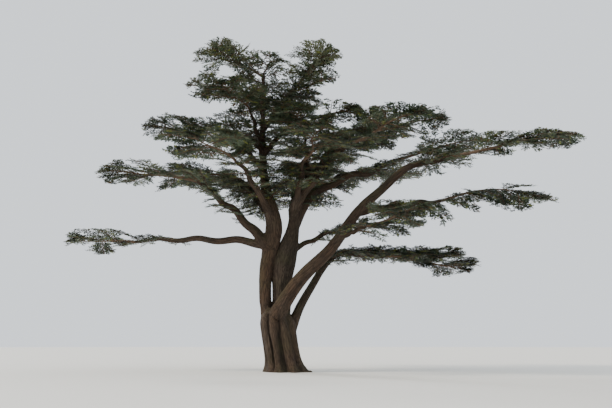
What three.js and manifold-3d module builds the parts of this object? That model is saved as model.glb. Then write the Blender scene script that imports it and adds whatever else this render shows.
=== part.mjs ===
// A mature cedar of Lebanon in open parkland. A broad bole forks low into two leaders, long boughs climb
// away from them and level out, and each bough ends in a flat plate of needle sprays.
// Millimetres, +Z up. The trunk's flat cut at ground level is at z = 0, with the origin in its middle.
// Headings are degrees in plan: 0 is +X, 90 is +Y, and -90 is the side that the tree is usually seen from.
import * as THREE from "three";
import { mergeVertices } from "three/addons/utils/BufferGeometryUtils.js";
import Module from "manifold-3d";

const solids = await Module();
solids.setup();

const joinGap = 0.4; // between a limb and what carries it
const clearance = 6; // between a spray and any limb

// The bole below the fork: two columns grown into one, with a groove down the back and two down the front.
const bole = {
  radius: 1000,
  lean: -0.16,
  shoulder: 2500,
  top: 3550,
  tipRadius: 0.33,
  ringCrowding: 0.65,
  sides: 24,
  rings: 9,
  flareHeight: 330,
  grooves: [
    { heading: -122, depth: 0.12, spread: 12 },
    { heading: -80, depth: 0.14, spread: 12 },
    { heading: 82, depth: 0.13, spread: 20 },
    { heading: -38, depth: 0.05, spread: 14 },
  ],
  roots: [
    { heading: -14, reach: 560, spread: 24 },
    { heading: 40, reach: 430, spread: 22 },
    { heading: 100, reach: 330, spread: 20 },
    { heading: 158, reach: 380, spread: 24 },
    { heading: 214, reach: 140, spread: 22 },
    { heading: 258, reach: 260, spread: 20 },
    { heading: 305, reach: 330, spread: 18 },
  ],
};

// The two leaders. The left one is the trunk's own top, and the right one is a limb that starts in the
// fork. Each stands at x, swings out by toe over its lowest stretch and by knee about kneeHeight, and leans
// above the fork. Its radius falls from girth to tip, and swells about swellHeight, where the boughs leave.
const leaders = {
  trunk: {
    x: -1200, y: 60, from: 2200, to: 17500, toe: 300, toeHeight: 1800, knee: 600, kneeHeight: 8400,
    kneeSpan: 2000, lean: -250, leanPower: 1, leanY: 200, girth: 380, tip: 90, taper: 0.8,
    swell: 200, swellHeight: 8000, swellSpan: 2300, sides: 12, rings: 13,
  },
  leader_right: {
    x: -250, y: 260, from: 2300, to: 14100, toe: 0, toeHeight: 1800, knee: -550, kneeHeight: 9900,
    kneeSpan: 1100, lean: 3600, leanPower: 2, leanY: 350, girth: 560, tip: 100, taper: 1.1,
    swell: 250, swellHeight: 6400, swellSpan: 1500, sides: 10, rings: 12,
  },
};

// A bough's radius falls from girth to tip, with a collar at its foot. Its habit says how far its heading
// turns, how soon its climb is over (snap), how far its end hangs, or climbs on where negative (sag), and how
// far an elbow at a share of its length drops it (dip, dipAt), and gives its solid a ring every so often.
// A plate of foliage has a length beyond the bough's tip, a width, a depth from top to bottom, the height
// that its stem climbs (lift), an arch of the stem (bow), and the share of its depth by which its twigs
// hang (hang).
const taper = { power: 0.8, collar: 0.4, collarLength: 1.6 };
const elbowSpan = 0.13;
const habits = {
  limb: { turn: 0, snap: 1.6, sag: 0, dip: 0, dipAt: 0, girth: 290, tip: 110, sides: 7, ringEvery: 2200,
    plate: { length: 5800, width: 5000, depth: 1600, lift: 500, bow: 0, hang: 0 } },
  bough: { turn: 0, snap: 1.5, sag: 0, dip: 0, dipAt: 0, girth: 230, tip: 85, sides: 6, ringEvery: 2200,
    plate: { length: 5200, width: 5000, depth: 1500, lift: 500, bow: 0, hang: 0 } },
  upper: { turn: 0, snap: 1.3, sag: 0, dip: 0, dipAt: 0, girth: 170, tip: 70, sides: 6, ringEvery: 2000,
    plate: { length: 4600, width: 4300, depth: 1400, lift: 400, bow: 0, hang: 0 } },
  crest: { turn: 0, snap: 1.2, sag: 0, dip: 0, dipAt: 0, girth: 120, tip: 60, sides: 6, ringEvery: 2000,
    plate: { length: 3600, width: 3500, depth: 1300, lift: 300, bow: 0, hang: 0 } },
};

// Each bough leaves its carrier at a height on a leader, at a share of another bough, or at a foot in the
// bole.
const boughs = [
  { name: "right_main", habit: "limb", foot: [-480, -560, 3000], heading: -12, turn: 4, reach: 10100,
    rise: 8800, snap: 1.8, dip: 500, dipAt: 0.37, girth: 380, tip: 125, ringEvery: 1250,
    plate: { length: 6900, width: 3800, depth: 1100, lift: 900 } },
  { name: "right_low", habit: "limb", foot: [200, 300, 2000], heading: 18, reach: 7600, rise: 5100, snap: 6,
    sag: 450, dip: 700, dipAt: 0.15, girth: 250, tip: 110, ringEvery: 850,
    plate: { length: 4300, width: 4600, depth: 1500, lift: -600 } },
  { name: "right_level", habit: "bough", from: "right_main", at: 0.48, heading: 2, reach: 4700, rise: 600,
    snap: 1.2, plate: { length: 6300, width: 4200, depth: 1400, lift: 200, bow: 2000, hang: 0.35 } },
  { name: "right_upper", habit: "limb", from: "leader_right", at: 7400, heading: 12, turn: -2, reach: 6800,
    rise: 3200, snap: 8, sag: -2000, girth: 270, ringEvery: 1200, plate: { length: 5600, lift: 1300 } },
  { name: "right_under", habit: "upper", from: "leader_right", at: 6650, heading: 26, reach: 4500,
    rise: 2100, plate: { length: 4800, width: 4000, depth: 1500, lift: 200 } },
  { name: "right_inner", habit: "upper", from: "right_main", at: 0.36, heading: -50, reach: 2600,
    rise: 400 },
  { name: "low_inner", habit: "upper", from: "right_low", at: 0.5, heading: -16, reach: 2300, rise: -300,
    plate: { length: 4400, width: 3600, depth: 1100, lift: 0 } },
  { name: "left_low", habit: "bough", from: "trunk", at: 7150, heading: 176, turn: 2, reach: 8100,
    rise: 800, snap: 2, sag: 500, girth: 240, tip: 80, plate: { length: 4300, lift: 100 } },
  { name: "left_mid", habit: "limb", from: "trunk", at: 7000, heading: 188, reach: 4300, rise: 3900,
    snap: 1.15 },
  { name: "left_high", habit: "bough", from: "trunk", at: 8700, heading: 160, reach: 2700, rise: 2800,
    snap: 1.1 },
  { name: "front_left", habit: "bough", from: "trunk", at: 8300, heading: 246, reach: 4200, rise: 2900 },
  { name: "front", habit: "bough", from: "leader_right", at: 8900, heading: -76, reach: 3500, rise: 2600 },
  { name: "front_right", habit: "limb", from: "leader_right", at: 9200, heading: -50, reach: 5200,
    rise: 3000, girth: 250 },
  { name: "back_left", habit: "bough", from: "trunk", at: 9200, heading: 128, reach: 5600, rise: 3000 },
  { name: "back", habit: "bough", from: "leader_right", at: 10100, heading: 88, reach: 5200, rise: 3200 },
  { name: "back_right", habit: "bough", from: "leader_right", at: 9500, heading: 46, reach: 6000,
    rise: 3000 },
  { name: "upper_left", habit: "upper", from: "trunk", at: 11600, heading: 184, reach: 2400, rise: 2300,
    plate: { length: 5000 } },
  { name: "upper_front_left", habit: "upper", from: "trunk", at: 12700, heading: 256, reach: 2200,
    rise: 1800 },
  { name: "upper_back_left", habit: "upper", from: "trunk", at: 12400, heading: 116, reach: 2600,
    rise: 2100 },
  { name: "upper_between", habit: "upper", from: "trunk", at: 12600, heading: -22, reach: 1800, rise: 1600,
    snap: 1.1 },
  { name: "upper_right", habit: "upper", from: "leader_right", at: 11600, heading: 4, reach: 3600,
    rise: 2500, girth: 180, plate: { length: 4600, depth: 2000, lift: 800 } },
  { name: "upper_front_right", habit: "upper", from: "leader_right", at: 11000, heading: -92, reach: 2600,
    rise: 2000 },
  { name: "upper_back_right", habit: "upper", from: "leader_right", at: 12300, heading: 58, reach: 2900,
    rise: 2100 },
  { name: "crest_left", habit: "crest", from: "trunk", at: 15200, heading: 180, reach: 1400, rise: 1500 },
  { name: "crest_front", habit: "crest", from: "trunk", at: 16100, heading: -80, reach: 1100, rise: 1300,
    girth: 95, tip: 50, plate: { length: 2700, width: 3300, lift: 100 } },
  { name: "crest_back", habit: "crest", from: "trunk", at: 15300, heading: 76, reach: 1300, rise: 1300 },
  { name: "crest_right", habit: "crest", from: "trunk", at: 14100, heading: 5, reach: 2400, rise: 3200,
    snap: 1.1, girth: 150, tip: 75, round: true,
    plate: { length: 1300, width: 3900, depth: 2500, lift: 1450 } },
  { name: "shoulder_right", habit: "crest", from: "crest_right", at: 0.5, heading: -30, reach: 900,
    rise: 600, girth: 90, tip: 50, plate: { length: 2700, width: 2900 } },
].map((bough) => {
  const habit = habits[bough.habit];
  return { ...habit, ...bough, plate: { ...habit.plate, ...bough.plate } };
});

// The plates that finish the leaders. A round one has twigs all round its stem.
const crowns = [
  { name: "top_left", on: "trunk", heading: 185, round: true,
    plate: { length: 4100, width: 4400, depth: 2500, lift: 1400, bow: 0, hang: 0 } },
  { name: "top_right", on: "leader_right", heading: 22, round: false,
    plate: { length: 4000, width: 4500, depth: 1700, lift: 500, bow: 0, hang: 0 } },
];

// One needle spray: a toothed blade, as shares of its length from root to tip and of its width from the rib
// out.
const spray = {
  halfOutline: [[0.26, 0.5], [0.42, 0.25], [0.68, 0.44]],
  middle: 0.45,
  halfThickness: 0.042,
  slenderness: 0.58,
};

// How a plate branches: twigs leave its stem on alternate sides, or all round on a round one, and climb to
// tiers one above another, as shares of its depth. Each twig ends in a spray, and so does the stem. The
// plate's space is an ellipsoid round a centre on the stem, or below it where the twigs hang, with radii as
// shares of its length, width and depth.
const branching = {
  twigSpacing: 900,
  space: { length: 0.56, width: 0.53, depth: 0.62, centre: 0.62 },
  sway: 0.04,
  stemBow: 0.3,
  stemGirth: 0.7,
  firstTwig: 0.1,
  lastTwig: 0.86,
  wideAngle: 66,
  forwardAngle: 38,
  roundStep: 137.5,
  roundTwigs: 1.5,
  ovate: 0.72,
  tiers: [0.05, 0.42, -0.3, 0.24],
  reaches: [1, 0.7, 0.4],
  droop: 0.2,
  roll: 0.3,
  endFlattening: 0.3,
  sprayShare: 0.5,
  longestSpray: 2200,
  sizes: [1, 0.8],
  stemShare: 0.8,
  stemRings: 3,
  twigRadius: 34,
  twigTip: 16,
};

const bark = () => new THREE.MeshStandardMaterial({ color: 0x5a4a3e, roughness: 0.92, metalness: 0 });
const needles = () => new THREE.MeshStandardMaterial({ color: 0x33503c, roughness: 0.78, metalness: 0 });

const up = new THREE.Vector3(0, 0, 1);
const inPlan = (heading) => {
  const angle = THREE.MathUtils.degToRad(heading);
  return new THREE.Vector3(Math.cos(angle), Math.sin(angle), 0);
};

// A number from 0 to 1, or from -size to size, that depends only on a seed and a place in its order.
const chance = (seed, k) => {
  const s = Math.sin(seed * 127.1 + k * 311.7) * 43758.5453;
  return s - Math.floor(s);
};
const jitter = (seed, k, size) => (2 * chance(seed, k) - 1) * size;

// How far an angle is from a heading, in degrees, the short way round.
function degreesApart(angle, heading) {
  const d = Math.abs(angle - heading) % 360;
  return Math.min(d, 360 - d);
}

// The direction of a curve at t.
function along(curve, t) {
  const step = 1e-3;
  return curve(Math.min(1, t + step)).sub(curve(Math.max(0, t - step))).normalize();
}

// The straight pieces between n + 1 places on a curve, so that what starts on them is inside its tube.
const chords = (curve, n) => (t) => {
  const i = Math.min(n - 1, Math.floor(t * n));
  return curve(i / n).lerp(curve((i + 1) / n), t * n - i);
};

// A closed three.js geometry as a solid: vertices at the same place become one.
function solidOf(geometry) {
  geometry.deleteAttribute("normal");
  geometry.deleteAttribute("uv");
  const merged = mergeVertices(geometry, 1e-3);
  return new solids.Manifold(new solids.Mesh({
    numProp: 3,
    vertProperties: new Float32Array(merged.attributes.position.array),
    triVerts: new Uint32Array(merged.index.array),
  }));
}

// A cylinder whose vertices are moved by place(t, angle, onRim), t from 0 at its foot to 1 at its top.
function movedCylinder(sides, rings, place) {
  const geometry = new THREE.CylinderGeometry(1, 1, 1, sides, rings);
  const position = geometry.attributes.position;
  for (let i = 0; i < position.count; i++) {
    const [a, b] = [position.getZ(i), position.getX(i)];
    const at = place(position.getY(i) + 0.5, Math.atan2(b, a), Math.hypot(a, b) > 0.5);
    position.setXYZ(i, at.x, at.y, at.z);
  }
  return solidOf(geometry);
}

// A cylinder bent along a curve, with radius(t) and a level side, and grow more all over, its ends included.
// first is the direction of its foot, where that isn't the curve's.
function bentCylinder({ curve, radius, side, sides, rings, first, grow = 0 }) {
  return movedCylinder(sides, rings, (t, angle, onRim) => {
    const forward = t < 1e-6 && first ? first : along(curve, t);
    const level = side.clone().projectOnPlane(forward).normalize();
    const above = forward.clone().cross(level);
    const out = onRim ? radius(t) + grow : 0;
    const past = t < 1e-6 ? -grow : t > 1 - 1e-6 ? grow : 0;
    return curve(t)
      .addScaledVector(forward, past)
      .addScaledVector(level, out * Math.cos(angle))
      .addScaledVector(above, out * Math.sin(angle));
  });
}

// The bole: level rings, flaring at the foot into roots, and drawn in where the leaders take over.
function boleSolid(grow) {
  return movedCylinder(bole.sides, bole.rings, (t, angle, onRim) => {
    const z = bole.top * ((1 - bole.ringCrowding) * t + bole.ringCrowding * t * t);
    const past = Math.max(0, z - bole.shoulder) / (bole.top - bole.shoulder);
    const degrees = THREE.MathUtils.radToDeg(angle);
    let r = bole.radius * Math.sqrt(1 - (1 - bole.tipRadius ** 2) * past * past);
    for (const groove of bole.grooves) {
      r *= 1 - groove.depth * Math.exp(-((degreesApart(degrees, groove.heading) / groove.spread) ** 2));
    }
    for (const root of bole.roots) {
      const toe = Math.exp(-((degreesApart(degrees, root.heading) / root.spread) ** 2));
      r += root.reach * toe * Math.exp(-z / bole.flareHeight);
    }
    const out = onRim ? r + grow : 0;
    const raised = t > 0.999 ? z + grow : z;
    return new THREE.Vector3(bole.lean * z + out * Math.cos(angle), out * Math.sin(angle), raised);
  });
}

function leaderPoint(leader, t) {
  const z = leader.from + (leader.to - leader.from) * t;
  const aboveFork = Math.max(0, (z - bole.top) / (leader.to - bole.top));
  const atFoot = Math.max(0, 1 - (z - leader.from) / leader.toeHeight);
  const x = leader.x + leader.toe * atFoot + leader.lean * aboveFork ** leader.leanPower
    + leader.knee * Math.exp(-(((z - leader.kneeHeight) / leader.kneeSpan) ** 2));
  return new THREE.Vector3(x, leader.y + leader.leanY * t, z);
}

function leaderRadius(leader, t) {
  const z = leader.from + (leader.to - leader.from) * t;
  const swelling = leader.swell * Math.exp(-(((z - leader.swellHeight) / leader.swellSpan) ** 2));
  return leader.tip + (leader.girth - leader.tip) * (1 - t) ** leader.taper + swelling;
}

function leaderSolid(leader, grow) {
  return bentCylinder({
    curve: (t) => leaderPoint(leader, t),
    radius: (t) => leaderRadius(leader, t),
    grow,
    side: new THREE.Vector3(1, 0, 0),
    sides: leader.sides,
    rings: leader.rings,
  });
}

const trunkSolid = (grow) => boleSolid(grow).add(leaderSolid(leaders.trunk, grow));

// Where a bough starts, on the centreline of what carries it.
function footOf(bough) {
  if (bough.foot) return new THREE.Vector3(...bough.foot);
  const leader = leaders[bough.from];
  if (leader) return leaderPoint(leader, (bough.at - leader.from) / (leader.to - leader.from));
  return boughPoint(boughs.find((other) => other.name === bough.from), bough.at);
}

function boughPoint(bough, t) {
  const at = footOf(bough).addScaledVector(inPlan(bough.heading + bough.turn * t), bough.reach * t);
  const drop = bough.sag * t ** 1.5 + bough.dip * Math.exp(-(((t - bough.dipAt) / elbowSpan) ** 2));
  at.z += bough.rise * (1 - (1 - t) ** bough.snap) - drop;
  return at;
}

function boughSolid(bough, grow) {
  const collar = (t) => taper.collar * bough.girth
    * Math.exp((-t * bough.reach) / (taper.collarLength * bough.girth));
  return bentCylinder({
    curve: (t) => boughPoint(bough, t),
    radius: (t) => bough.tip + (bough.girth - bough.tip) * (1 - t) ** taper.power + collar(t),
    grow,
    side: inPlan(bough.heading + bough.turn + 90),
    sides: bough.sides,
    rings: 3 + Math.floor(bough.reach / bough.ringEvery),
  });
}

// A toothed blade with its middle at a place, pointing forward, with its upper side to face.
function spraySolid(at, forward, face, length) {
  const half = spray.halfOutline;
  const corners = 2 * half.length + 2;
  const width = length * spray.slenderness;
  const across = forward.clone().cross(face).normalize();
  const mirrored = half.map(([a, b]) => [a, -b]).reverse();
  const outline = [[0, 0], ...half, [1, 0], ...mirrored];
  const geometry = new THREE.SphereGeometry(1, corners, 2);
  const { position, uv } = geometry.attributes;
  for (let i = 0; i < position.count; i++) {
    const pole = Math.round(position.getY(i));
    const [a, b] = pole ? [spray.middle, 0] : outline[Math.round(uv.getX(i) * corners) % corners];
    const p = at.clone()
      .addScaledVector(forward, (a - spray.middle) * length)
      .addScaledVector(across, b * width)
      .addScaledVector(face, pole * spray.halfThickness * length);
    position.setXYZ(i, p.x, p.y, p.z);
  }
  return solidOf(geometry);
}

const boxed = (solid) => ({ solid, box: solid.boundingBox() });
const boxesMeet = (a, b) => [0, 1, 2].every((k) => a.min[k] <= b.max[k] && b.min[k] <= a.max[k]);
const largest = (solid) => solid.decompose().sort((a, b) => b.volume() - a.volume())[0];

function touches(candidate, others) {
  const box = candidate.boundingBox();
  return others.some((other) => boxesMeet(box, other.box) && candidate.intersect(other.solid).volume() > 0);
}

// One plate of foliage from a limb's tip: a stem, twigs off the stem, and sprays. Whatever would leave the
// plate's own space, or touch a limb or an earlier plate, is left out or made smaller.
function plateSolid({ plate, start, first, heading, tip, round, seed }, obstacles) {
  const ahead = inPlan(heading);
  const left = inPlan(heading + 90);
  const stem = chords((t) => start.clone()
    .addScaledVector(ahead, plate.length * branching.stemShare * t)
    .addScaledVector(left, branching.sway * plate.width * Math.sin(2 * Math.PI * t))
    .addScaledVector(up, plate.lift * t + (branching.stemBow * plate.lift + plate.bow) * t * (1 - t)),
  branching.stemRings);
  const { space } = branching;
  const centre = stem(space.centre).addScaledVector(up, -plate.hang * plate.depth);
  const span = round ? plate.width : plate.length;
  const inSpace = (p) => {
    const d = p.clone().sub(centre);
    return (d.dot(ahead) / (space.length * span)) ** 2
      + (d.dot(left) / (space.width * plate.width)) ** 2
      + (d.z / (space.depth * plate.depth)) ** 2 < 1;
  };
  const stemRadius = (t) => THREE.MathUtils.lerp(branching.stemGirth * tip, branching.twigTip, t);
  const parts = [
    bentCylinder({
      curve: stem, radius: stemRadius, side: left, sides: 3, rings: branching.stemRings, first,
    }),
  ];
  const fullLength = Math.min(branching.sprayShare * Math.min(plate.width, span), branching.longestSpray);
  const sprayAt = (at, direction, roll) => {
    const forward = direction.clone().normalize();
    const face = up.clone().projectOnPlane(forward).normalize().applyAxisAngle(forward, roll);
    for (const size of branching.sizes) {
      const length = fullLength * size;
      if (!inSpace(at.clone().addScaledVector(forward, (1 - spray.middle) * length))) continue;
      const solid = spraySolid(at, forward, face, length);
      if (!touches(solid, obstacles)) return solid;
    }
    return null;
  };
  const n = Math.round(((round ? branching.roundTwigs : 1) * span) / branching.twigSpacing);
  for (let i = 0; i < n; i++) {
    const k = 10 * i;
    const spacing = (branching.lastTwig - branching.firstTwig) / (n - 1);
    const t = branching.firstTwig + spacing * (i + jitter(seed, k, 0.2));
    const side = (i + seed) % 2 ? 1 : -1;
    const angle = THREE.MathUtils.lerp(branching.wideAngle, branching.forwardAngle, t)
      + jitter(seed, k + 1, 7);
    const turned = round ? branching.roundStep * i : side * angle;
    const bulge = Math.sqrt(1 - ((t - 0.5) / branching.ovate) ** 2);
    const lateral = 0.5 * (plate.width - fullLength);
    const slant = round ? 1 : Math.sin(THREE.MathUtils.degToRad(angle));
    const fullReach = (bulge * lateral) / slant;
    const height = branching.tiers[(i + seed) % branching.tiers.length] + jitter(seed, k + 2, 0.08);
    const tier = height - plate.hang;
    const climb = tier * plate.depth;
    const foot = stem(t);
    const direction = inPlan(heading + turned).addScaledVector(up, climb / fullReach);
    const drooping = direction.clone().addScaledVector(up, -branching.droop);
    for (const share of branching.reaches) {
      const curve = (s) => foot.clone().addScaledVector(direction, fullReach * share * s);
      const radius = (s) => THREE.MathUtils.lerp(branching.twigRadius, branching.twigTip, s);
      const twig = bentCylinder({ curve, radius, side: inPlan(heading + turned + 90), sides: 3, rings: 1 });
      const roll = jitter(seed, k + 3, branching.roll);
      const end = touches(twig, obstacles) ? null : sprayAt(curve(1), drooping, roll);
      if (!end) continue;
      parts.push(twig, end);
      break;
    }
  }
  const stemEnd = along(stem, 1).multiply(new THREE.Vector3(1, 1, branching.endFlattening));
  const last = sprayAt(stem(1), stemEnd, jitter(seed, 10 * n, branching.roll));
  if (last) parts.push(last);
  return largest(solids.Manifold.union(parts));
}

function meshOf(name, solid, material) {
  const made = solid.getMesh();
  const geometry = new THREE.BufferGeometry();
  geometry.setAttribute("position", new THREE.BufferAttribute(new Float32Array(made.vertProperties), 3));
  geometry.setIndex(new THREE.BufferAttribute(new Uint32Array(made.triVerts), 1));
  geometry.computeVertexNormals();
  const mesh = new THREE.Mesh(geometry, material);
  mesh.name = name;
  return mesh;
}

const tree = new THREE.Group();
tree.name = "cedar_of_lebanon";

// Each limb is cut clear of the limbs before it, so a bough ends at the bark of what carries it.
const limbs = [];
function addLimb(name, make) {
  let solid = make(0);
  const box = solid.boundingBox();
  for (const limb of limbs) {
    if (boxesMeet(box, limb.box)) solid = solid.subtract(limb.cut);
  }
  tree.add(meshOf(name, largest(solid), bark()));
  limbs.push({ cut: make(joinGap), ...boxed(make(clearance)) });
}

addLimb("trunk", trunkSolid);
addLimb("leader_right", (grow) => leaderSolid(leaders.leader_right, grow));
for (const bough of boughs) addLimb("bough_" + bough.name, (grow) => boughSolid(bough, grow));

// A plate starts a hair beyond the end of its limb, in the limb's own direction.
function siteAt(curve, entry, heading) {
  const first = along(curve, 1);
  return { ...entry, heading, first, start: curve(1).addScaledVector(first, joinGap) };
}

const sites = [
  ...boughs.map((bough) => siteAt((t) => boughPoint(bough, t), bough, bough.heading + bough.turn)),
  ...crowns.map((crown) => {
    const leader = leaders[crown.on];
    return siteAt((t) => leaderPoint(leader, t), { ...crown, tip: leader.tip }, crown.heading);
  }),
];
const plates = [];
sites.forEach((site, i) => {
  const solid = plateSolid({ ...site, seed: i + 1 }, [...limbs, ...plates]);
  plates.push(boxed(solid));
  tree.add(meshOf("foliage_" + site.name, solid, needles()));
});

export default tree;
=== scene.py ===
import bmesh
import bpy
import numpy as np
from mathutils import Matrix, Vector


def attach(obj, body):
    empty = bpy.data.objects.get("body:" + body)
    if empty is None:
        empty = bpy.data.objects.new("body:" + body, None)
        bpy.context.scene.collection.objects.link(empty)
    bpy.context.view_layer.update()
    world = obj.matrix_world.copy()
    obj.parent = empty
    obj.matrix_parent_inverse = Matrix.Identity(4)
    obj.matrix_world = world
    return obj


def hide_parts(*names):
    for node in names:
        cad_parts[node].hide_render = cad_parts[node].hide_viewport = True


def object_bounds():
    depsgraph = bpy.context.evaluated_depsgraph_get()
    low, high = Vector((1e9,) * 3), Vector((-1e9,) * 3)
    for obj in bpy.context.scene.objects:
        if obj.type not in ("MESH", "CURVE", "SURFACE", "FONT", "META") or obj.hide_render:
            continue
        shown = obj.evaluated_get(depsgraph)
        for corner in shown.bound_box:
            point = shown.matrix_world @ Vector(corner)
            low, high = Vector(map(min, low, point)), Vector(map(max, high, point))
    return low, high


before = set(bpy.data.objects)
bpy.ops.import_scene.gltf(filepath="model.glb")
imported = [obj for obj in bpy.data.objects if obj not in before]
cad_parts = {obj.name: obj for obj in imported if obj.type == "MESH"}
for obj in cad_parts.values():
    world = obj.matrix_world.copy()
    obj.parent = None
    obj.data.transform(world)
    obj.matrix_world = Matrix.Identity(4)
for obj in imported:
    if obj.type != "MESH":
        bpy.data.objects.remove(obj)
packedBox = [list(corner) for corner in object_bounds()]
print("frame loaded with", len(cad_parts), "nodes")

up = np.array([0.0, 0.0, 1.0])


# Shapes of the limbs, as in the part's source

# The bole below the fork. A groove is (heading, depth as a share of the radius, spread in degrees), and a
# root is (heading, reach, spread in degrees). The creases are narrow folds of bark, most of them in the
# grooves. They swing in two waves, each (degrees, rate up the bole, shift from one crease to the next), and
# fade out towards creaseFade below the ground. The rings are spaced by ringShares of the plain and of the
# squared share of the height.
bole = {
    "radius": 1.0, "lean": -0.16, "shoulder": 2.5, "top": 3.55, "tipRadius": 0.33, "flareHeight": 0.33,
    "grooves": [(-122, 0.12, 12), (-80, 0.14, 12), (82, 0.13, 20), (-38, 0.05, 14)],
    "creases": [(-122, 0.15, 4), (-80, 0.17, 4), (84, 0.12, 4), (-38, 0.04, 4), (-160, 0.05, 4),
                (20, 0.05, 4)],
    "creaseWaves": [(3.0, 1.9, 2), (1.5, 5.1, 1)], "creaseFade": 0.35,
    "roots": [(-14, 0.56, 24), (40, 0.43, 22), (100, 0.33, 20), (158, 0.38, 24), (214, 0.14, 22),
              (258, 0.26, 20), (305, 0.33, 18)],
    "sides": 180, "rings": 80, "ringShares": (0.45, 0.55), "below": 0.12,
}

# The two leaders: each stands at x, swings out by toe over its lowest stretch and by knee about kneeHeight,
# and leans above the fork. Its radius falls from girth to tip, and swells about swellHeight. wander is how
# far its centre strays from that line, and shoots leave it above leafyFrom.
leaders = {
    "trunk": {"x": -1.2, "y": 0.06, "start": 2.2, "end": 17.5, "toe": 0.3, "toeHeight": 1.8, "knee": 0.6,
              "kneeHeight": 8.4, "kneeSpan": 2.0, "lean": -0.25, "leanPower": 1, "leanY": 0.2,
              "girth": 0.38, "tip": 0.09, "taper": 0.8, "swell": 0.2, "swellHeight": 8.0,
              "swellSpan": 2.3, "wander": 0.06, "leafyFrom": 9.4},
    "leader_right": {"x": -0.25, "y": 0.26, "start": 2.3, "end": 14.1, "toe": 0.0, "toeHeight": 1.8,
                     "knee": -0.55, "kneeHeight": 9.9, "kneeSpan": 1.1, "lean": 3.6, "leanPower": 2,
                     "leanY": 0.35, "girth": 0.56, "tip": 0.1, "taper": 1.1, "swell": 0.25,
                     "swellHeight": 6.4, "swellSpan": 1.5, "wander": 0.04, "leafyFrom": 9.6},
}

# How limbs stray from their lines: by a slow and a quick wave, each (least turns, turns by chance) over the
# limb's length, that fade out at both ends. A bough strays by boughShare of its girth.
straying = {"slow": (0.9, 1.3), "quick": (2.6, 1.0), "quickSize": 0.5, "fadePower": 0.8, "boughShare": 0.4}
limbSeeds = {"trunk": 101, "leader_right": 102, "firstBough": 110}

# The sides of the tubes that limbs are made of, and the gap between their rings.
leaderTube = {"sides": 36, "ringGap": 0.12}
boughTube = {"sides": 20, "ringGap": 0.1}
leastRings = 4

# A bough's radius falls with the power of what is left of its length. Its foot is wider by collar, which
# fades over collarLength times its girth. An elbow takes up elbowSpan of its length.
boughTaper = {"power": 0.8, "collar": 0.4, "collarLength": 1.6}
elbowSpan = 0.13

# What all boughs and plates share, and then those of one habit, unless their own entry says otherwise. An
# elbow at the share dipAt drops a bough by dip. Shoots leave a bough beyond its share leafyFrom, shootGap
# apart, and slope down by shootHang. length, width, depth, lift, bow and hang are of the plate of foliage at
# its end, and extraSets is how many sets of finer twigs it has. The twigs of a round plate leave its stem all
# round.
shared = {"turn": 0, "sag": 0, "dip": 0, "dipAt": 0, "shootGap": 0.25, "shootHang": 0, "round": False,
          "bow": 0, "hang": 0, "extraSets": 4}
habits = {
    "limb": {"snap": 1.6, "girth": 0.29, "tip": 0.11, "leafyFrom": 0.5, "length": 5.8, "width": 5.0,
             "depth": 1.6, "lift": 0.5},
    "bough": {"snap": 1.5, "girth": 0.23, "tip": 0.085, "leafyFrom": 0.4, "length": 5.2, "width": 5.0,
              "depth": 1.5, "lift": 0.5},
    "upper": {"snap": 1.3, "girth": 0.17, "tip": 0.07, "leafyFrom": 0.25, "length": 4.6, "width": 4.3,
              "depth": 1.4, "lift": 0.4},
    "crest": {"snap": 1.2, "girth": 0.12, "tip": 0.06, "leafyFrom": 0.15, "length": 3.6, "width": 3.5,
              "depth": 1.3, "lift": 0.3, "extraSets": 3},
}

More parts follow.
